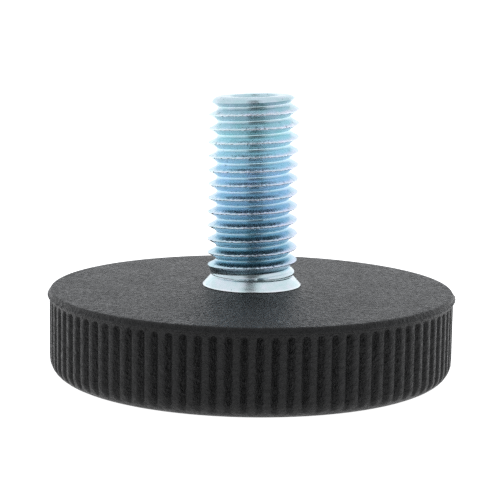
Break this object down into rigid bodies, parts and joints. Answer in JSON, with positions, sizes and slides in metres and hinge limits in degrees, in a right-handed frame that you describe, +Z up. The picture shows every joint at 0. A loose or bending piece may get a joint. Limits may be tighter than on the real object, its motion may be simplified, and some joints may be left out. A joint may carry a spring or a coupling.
{
  "type": "furniture leveling foot",
  "caption": "Levelling foot for furniture: a short threaded steel stud with a conical collar, moulded into a flat round plastic base with a fluted rim.",
  "frame": {"origin": "centre of the underside that stands on the floor", "axes": "+Z up along the threaded stud; +X and +Y are any two square directions across the disc"},
  "size_m": [0.0444, 0.0444, 0.0305],
  "materials": {
    "black_plastic": "black moulded plastic with a fine spark-eroded grain",
    "blue_zinc_plate": "bright zinc plate with a blue passivate and faint iridescence"
  },
  "bodies": {
    "root": {"base_disc": "black_plastic", "threaded_stud": "blue_zinc_plate"}
  },
  "joints": []
}
